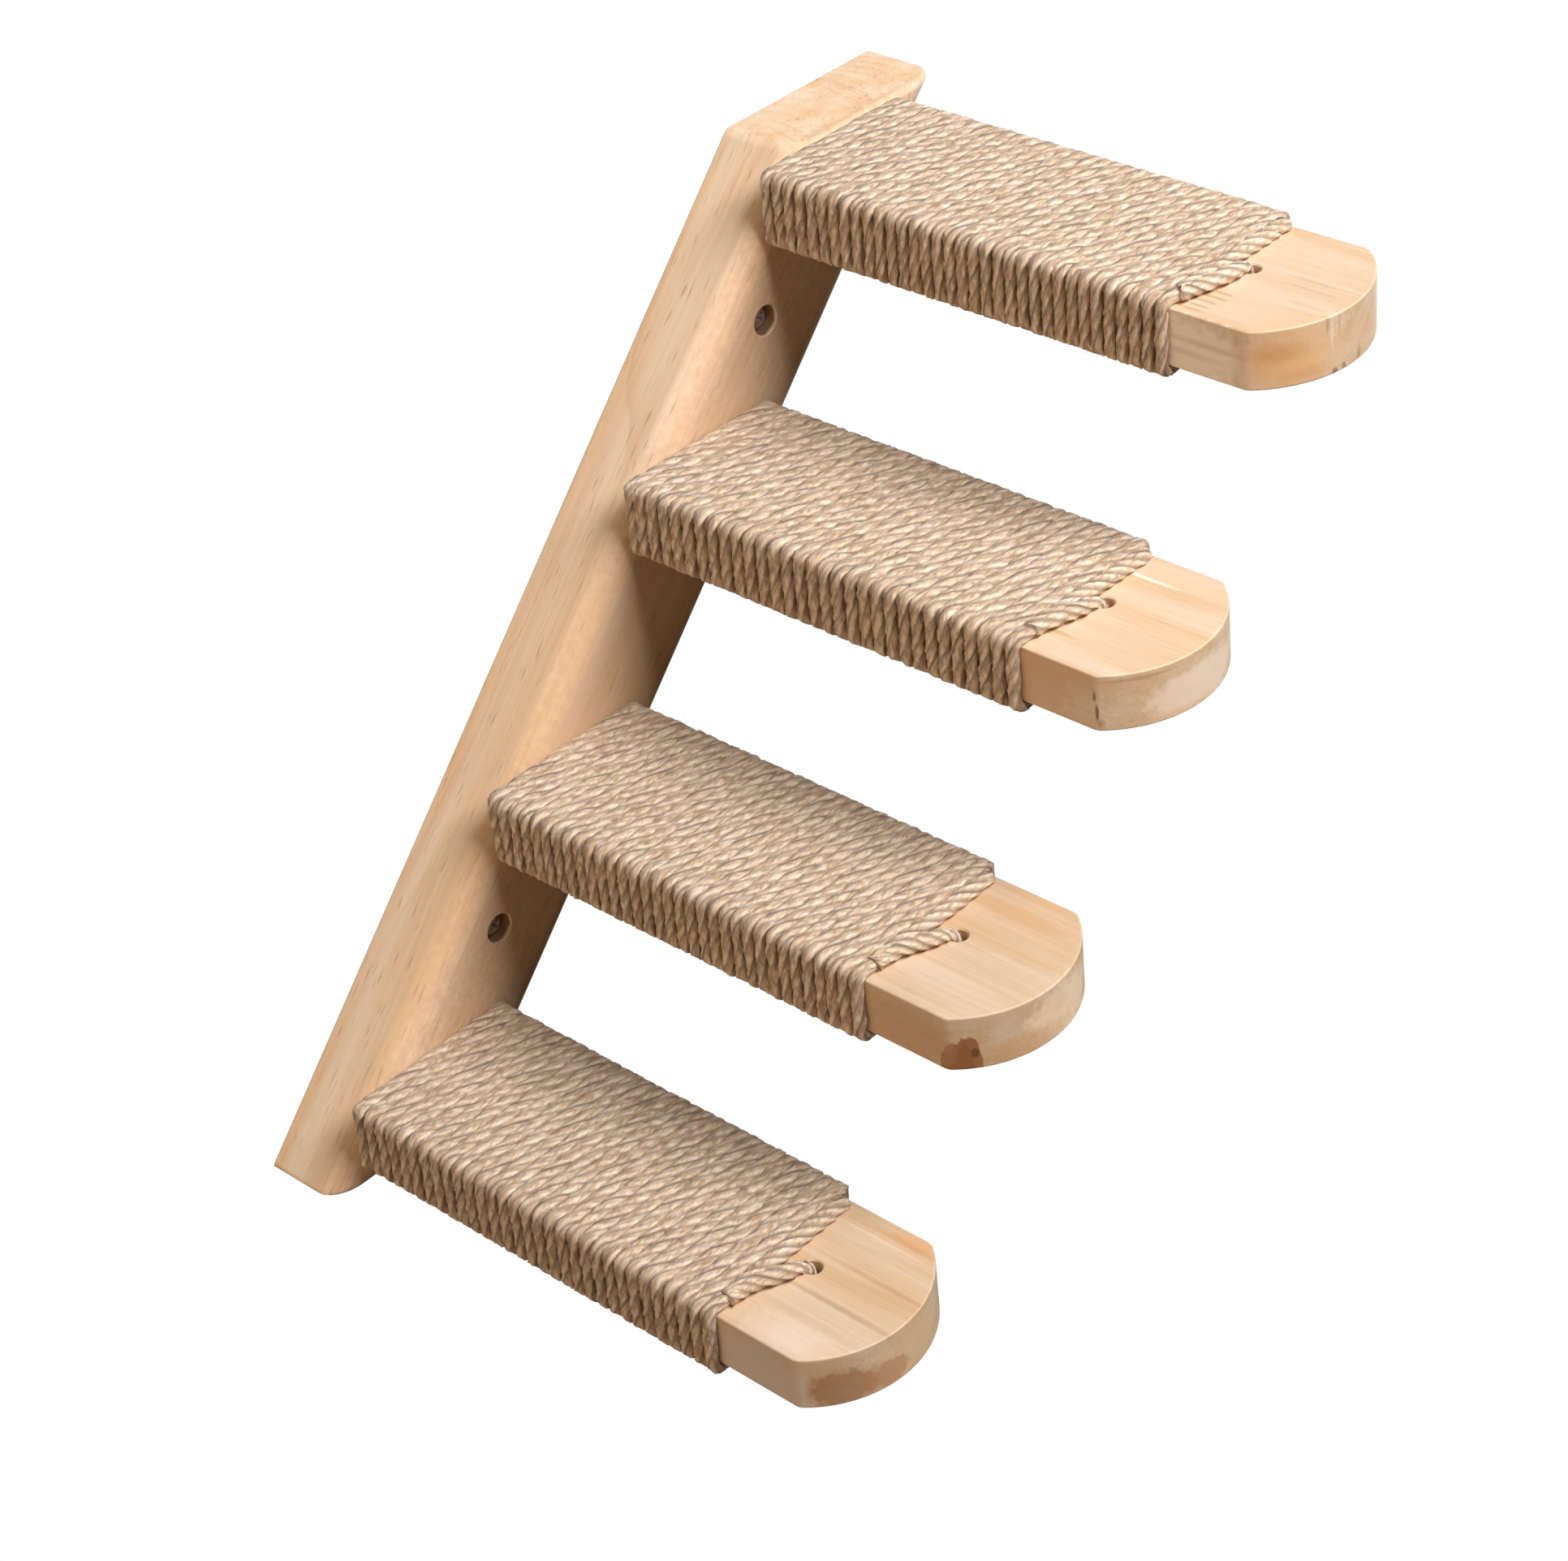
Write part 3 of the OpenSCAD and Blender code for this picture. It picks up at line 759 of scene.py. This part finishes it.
def finePoints(points, every):
    points = np.array(points, float)
    run = distances(points)
    return np.vstack([sample(points, run, np.arange(0, run[-1], every)), points[-1]])


def blur(line, times):
    for _ in range(times):
        line[1:-1] = (line[:-2] + 2 * line[1:-1] + line[2:]) / 4
    return line


# A rope's middle line, its way and its direction outwards, the points of its winding, and its pitch
def ropeLine(name, thick):
    winding = windings[name]
    run, points = turnShape(thick)
    pitch = (winding["last"] - winding["first"]) / winding["turns"]
    gain = turnGain(run, pitch, winding["slant"])
    length = run[-1]
    farTop = bendStarts(run)[2]  # where the winding stops, and its end comes back over the last crossing
    places = np.arange(0, length * (winding["turns"] + 1) + farTop, rope["pointEvery"])
    wound = len(places)
    turn = np.floor(places / length)
    inside = places - turn * length
    x, z, angle = sample(points, run, inside).T
    atTop = np.interp(length / 2, gain[:, 0], gain[:, 1])
    along = winding["first"] - atTop + turn * pitch + np.interp(inside, gain[:, 0], gain[:, 1])
    line = np.stack([x, -along, z], 1)
    out = np.stack([np.cos(np.radians(angle)), np.zeros_like(angle), np.sin(np.radians(angle))], 1)
    line[:, 1] = np.minimum(line[:, 1], -board["back"] - pitch / 2)

    # the end: over the top of the board, then down its hole
    lift = rope["gap"] + rope["looseHalf"]
    holeX, holeY = board["holeAt"]
    end = [line[-1]] + [(px, -py, lift) for px, py in winding["run"]]
    end += [(holeX + px, py - holeY, lift + pz) for px, py, pz in rope["dip"]]
    end.append((*end[-1][:2], -rope["depth"]))
    ending = finePoints(end, rope["pointEvery"])[1:]
    line = np.vstack([line, ending])
    before, times = rope["tail"]
    line[wound - before:] = blur(line[wound - before:], times)
    way = unit(np.gradient(line, axis=0))
    up = np.tile([0.0, 0.0, 1.0], (len(ending), 1))
    out = np.vstack([out, up])
    lead = way[wound + rope["leadAt"]]
    down = np.clip(-way[wound:, 2:3], 0, 1)
    out[wound:] += down * np.array([lead[0], lead[1], 0]) * rope["turnOver"]
    return line, way, out, wound, pitch


# Fibres that stand off the rope: thin tapered tubes, which bend back to it
def strayFibres(rng, roots, radial, way):
    stray = rope["stray"]

    def spread(low, high):
        return rng.uniform(low, high, (len(roots), 1))

    side = np.cross(way, radial)
    lean = unit(way * np.sign(spread(-1, 1)) * spread(*stray["along"]) + side * spread(*stray["aside"])
                + radial * spread(*stray["outward"]))
    side = unit(np.cross(lean, radial))
    lift = np.cross(side, lean)
    length, curl = spread(*stray["length"]), spread(*stray["curl"])
    bent = side * curl - radial * stray["sag"]
    points = np.empty((len(roots), stray["rings"], stray["sides"], 3))
    for ring in range(stray["rings"]):
        share = ring / (stray["rings"] - 1)
        middle = roots - radial * stray["root"] + length * (lean * share + bent * share ** 2)
        radius = stray["radius"] * (1 - stray["taper"] * share)
        for k in range(stray["sides"]):
            angle = math.radians(90 + 360 * k / stray["sides"])
            points[:, ring, k] = middle + (side * math.cos(angle) + lift * math.sin(angle)) * radius
    return points


# Quads of tubes whose points are numbered ring by ring
def tubeFaces(index):
    following = np.roll(index, -1, axis=-1)
    quads = [index[..., :-1, :], following[..., :-1, :], following[..., 1:, :], index[..., 1:, :]]
    return np.stack(quads, -1).reshape(-1, 4).tolist()


def makeRope(number, material):
    name = f"rope_{number}"
    middle, low, high = stepMiddle(number)
    winding = windings[name]
    rng = np.random.default_rng(winding["seed"])
    line, way, out, wound, pitch = ropeLine(name, high - low)
    run = distances(line)
    length, windingEnd = run[-1], run[wound]
    places = np.arange(0, length, rope["ringEvery"])
    line, way, out = (sample(rows, run, places) for rows in (line, way, out))
    across = unit(np.cross(out, way))
    out = np.cross(way, across)

    def wave(what):
        size, every = rope["waves"][what]
        return size * waver(rng, length, every, places)

    before, over = rope["easing"]
    loose = np.clip((places - windingEnd + before) / over, 0, 1)  # 0 where it is wound, 1 where it is round
    sideways = out[:, 0] ** 2  # 1 on the board's sides, 0 on its top and underside
    corner = 4 * sideways * out[:, 2] ** 2  # 1 halfway round a corner
    spread = rope["flatSpread"] - rope["sideSqueeze"] * sideways * (1 - corner)
    before, over, thin = rope["thinEnd"]
    above = np.clip((length - before - places) / over, 0, 1)  # 0 in the hole
    half = rope["looseHalf"] * (thin + (1 - thin) * above)
    wide = (pitch * spread / 2) * (1 - loose) + half * (1 + (rope["looseSpread"] - 1) * above) * loose
    tall = (rope["thickness"] / 2) * (1 - loose) + half * loose
    wide = wide * (1 + wave("width") + (1 - loose) * wave("press"))
    tall = tall * (1 + wave("height"))
    power = rope["fullness"] + rope["sideFullness"] * sideways + rope["cornerFullness"] * corner
    power = (power + wave("section")) * (1 - loose) + 2 * loose
    line = line + across * (wave("sway") + wave("wobble"))[:, None]
    line = line + out * wave("lift")[:, None]
    rate = 2 * math.pi * ((1 - loose) / rope["lays"][0] + loose / rope["lays"][1])
    twist = np.cumsum(rate) * rope["ringEvery"] + wave("twist") + wave("flutter")
    valley = rope["valleys"][0] * (1 - loose) + rope["valleys"][1] * loose

    perStrand, strands = rope["strandPoints"], rope["strands"]
    around = strands * perStrand
    share = 2 * math.pi / strands
    radius = math.sin(share / 2) / (1 + math.sin(share / 2))  # of touching strands, in a rope of radius 1
    grooveNarrow, grooveShadeStrength = rope["grooveShade"]
    topPaintedLight, tuftPaintedLight, grooveShadeWeight = rope["crowns"]
    flatTufts, sideTufts = rope["tuftFaces"]
    points = np.empty((len(places), around, 3))
    rest = np.empty((len(places), around, 3))  # where the fibre pattern lies, in mm along and round
    crown = np.empty((len(places), around))  # painted shading: 0 for painted shade in the hollows and grooves, 1 for painted light on the tops
    for k in range(around):
        strand = k // perStrand
        turn = share * ((k % perStrand) / perStrand - 0.5)
        apart = max(0, radius ** 2 - ((1 - radius) * math.sin(turn)) ** 2)
        reach = np.maximum((1 - radius) * math.cos(turn) + math.sqrt(apart), valley)
        tuft = wave("tufts") * (1 - rope["looseTufts"] * loose)
        angle = twist + share * strand + turn
        strandTop = (reach - valley) / (1 - valley)
        # painted shade in the grooves between turns on the board's sides, and painted light on the strands'
        # tops and raised tufts; this is colour only and does not move the mesh
        grooveShade = sideways * np.abs(np.cos(angle)) ** grooveNarrow * (grooveShadeStrength + wave("grooveShade"))
        woundPaintedLight = topPaintedLight * strandTop + tuftPaintedLight * (tuft + 1) + grooveShadeWeight * (1 - grooveShade)
        loosePaintedLight = rope["looseValleyLight"] + (1 - rope["looseValleyLight"]) * strandTop
        crown[:, k] = woundPaintedLight * (1 - loose) + loosePaintedLight * loose
        rise = rope["tufts"] * (flatTufts + sideTufts * sideways) * (tuft - rope["tuftSink"])
        reach = reach * (1 + wave("yarns") + rise)
        full = (np.abs(np.cos(angle)) ** power + np.abs(np.sin(angle)) ** power) ** (-1 / power)
        points[:, k] = (line + across * (np.cos(angle) * full * reach * wide)[:, None]
                        + out * (np.sin(angle) * full * reach * tall)[:, None])
        rest[:, k, 0] = places
        rest[:, k, 1] = angle * rope["patternRadius"] + places * rope["fibreLean"]
        rest[:, k, 2] = strand * 7.3 + winding["seed"]  # so that no two strands look alike

    stray = rope["stray"]
    atStart, atEnd = stray["bareRings"]
    rings = rng.integers(atStart, len(places) - atEnd, 3 * stray["count"])
    spots = rng.integers(0, around, len(rings))
    roots = points[rings, spots]
    radial = unit(roots - line[rings])
    outer = np.flatnonzero((radial * out[rings]).sum(1) > stray["facing"])[:stray["count"]]
    hairs = strayFibres(rng, roots[outer], radial[outer], way[rings][outer])
    hairRest = np.repeat(rest[rings, spots][outer], stray["rings"] * stray["sides"], axis=0)

    index = np.arange(points.size // 3).reshape(len(places), around)
    hairIndex = np.arange(hairs.size // 3).reshape(hairs.shape[:3]) + index.size
    faces = tubeFaces(index) + [index[0][::-1].tolist(), index[-1].tolist()] + tubeFaces(hairIndex)
    points = np.vstack([points.reshape(-1, 3), hairs.reshape(-1, 3)]) + np.array([middle, 0, high])
    piece = newPiece(f"juteRope{number}", points, faces)
    mesh = piece.data
    layer = mesh.attributes.new("restPlace", "FLOAT_VECTOR", "POINT")
    layer.data.foreach_set("vector", np.concatenate([rest.reshape(-1), hairRest.reshape(-1)]))
    layer = mesh.attributes.new("crown", "FLOAT", "POINT")
    layer.data.foreach_set("value", np.concatenate([crown.reshape(-1), np.ones(len(hairRest))]))
    mesh.shade_smooth()
    mesh.materials.append(material)
    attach(piece, "root")
    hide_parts(name)


jute = juteFibre("spunJute")
for number in range(1, 5):
    makeRope(number, jute)
print("ropes wound")

plated = zincSteel("zincPlatedSteel")
for node in ("wall_screw_upper", "wall_screw_lower", "fixing_screws"):
    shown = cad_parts[node]
    shown.data.materials.clear()
    shown.data.materials.append(plated)
print("screws plated")

studio = {
    "floorHeight": -1.5,  # metres
    "floorSize": 16,
    "keyTowards": (0.24, -0.72, 1.0),  # from what the camera looks at
    "keyDistance": 1.8,
    "key": ((1.0, 0.85), 48.0, (0.92, 0.92, 1.0)),  # size in metres, watts and colour
    "backPlace": (0.3, 1.6, -0.7),
    "back": ((1.2, 1.2), 6.0, (1.0, 0.9, 0.8)),
    "farPlace": (1.8, 0.35, -0.5),
    "far": ((0.9, 0.9), 9.0, (1.0, 0.92, 0.84)),
    "nearFill": (0.9, 0.7, 0.55),  # warm light from the near side
}


def addLight(name, place, target, size, power, colour):
    light = bpy.data.lights.new(name, "AREA")
    light.shape = "RECTANGLE"
    light.size, light.size_y = size
    light.energy = power
    light.color = colour
    lamp = bpy.data.objects.new(name, light)
    scene.collection.objects.link(lamp)
    lamp.location = place
    lamp.rotation_euler = (Vector(target) - Vector(place)).to_track_quat("-Z", "Y").to_euler()


def makeStudio():
    centre = Vector(cameraPlace["target"])
    key = Vector(studio["keyTowards"]).normalized() * studio["keyDistance"]
    addLight("keyLight", centre + key, centre, *studio["key"])
    addLight("backLight", studio["backPlace"], (0, 0, 0), *studio["back"])
    addLight("farLight", studio["farPlace"], (0, 0, 0), *studio["far"])

    bpy.ops.mesh.primitive_plane_add(size=studio["floorSize"], location=(0, 0, studio["floorHeight"]))
    floor = bpy.context.object
    floor.name = "studioFloor"
    floor.visible_diffuse = False
    floor.visible_glossy = False
    material, tree = newMaterial("paleFloor")
    glow = addNode(tree, "ShaderNodeEmission", {"Color": (1, 1, 1, 1), "Strength": 1.0})
    addNode(tree, "ShaderNodeOutputMaterial", {"Surface": glow.outputs[0]})
    floor.data.materials.append(material)

    world = bpy.data.worlds.new("studio")
    scene.world = world
    world.use_nodes = True
    tree = world.node_tree
    tree.nodes.clear()
    direction = addNode(tree, "ShaderNodeTexCoord").outputs["Generated"]
    parts = addNode(tree, "ShaderNodeSeparateXYZ", {0: direction})
    nearSide = addNode(tree, "ShaderNodeMapRange", {"Value": parts.outputs[0], "From Min": 0.0,
                       "From Max": -1.0})
    squared = addNode(tree, "ShaderNodeMath", {0: nearSide.outputs[0], 1: 2.0}, operation="POWER")
    filled = addNode(tree, "ShaderNodeVectorMath", {0: squared.outputs[0], 1: studio["nearFill"]},
                     operation="MULTIPLY")
    seen = addNode(tree, "ShaderNodeLightPath").outputs["Is Camera Ray"]
    colour = addNode(tree, "ShaderNodeMix", {0: seen, 6: filled.outputs[0], 7: (1, 1, 1, 1)},
                     data_type="RGBA")
    glow = addNode(tree, "ShaderNodeBackground", {"Color": colour.outputs[2]})
    addNode(tree, "ShaderNodeOutputWorld", {"Surface": glow.outputs[0]})


makeStudio()
print("studio lit")
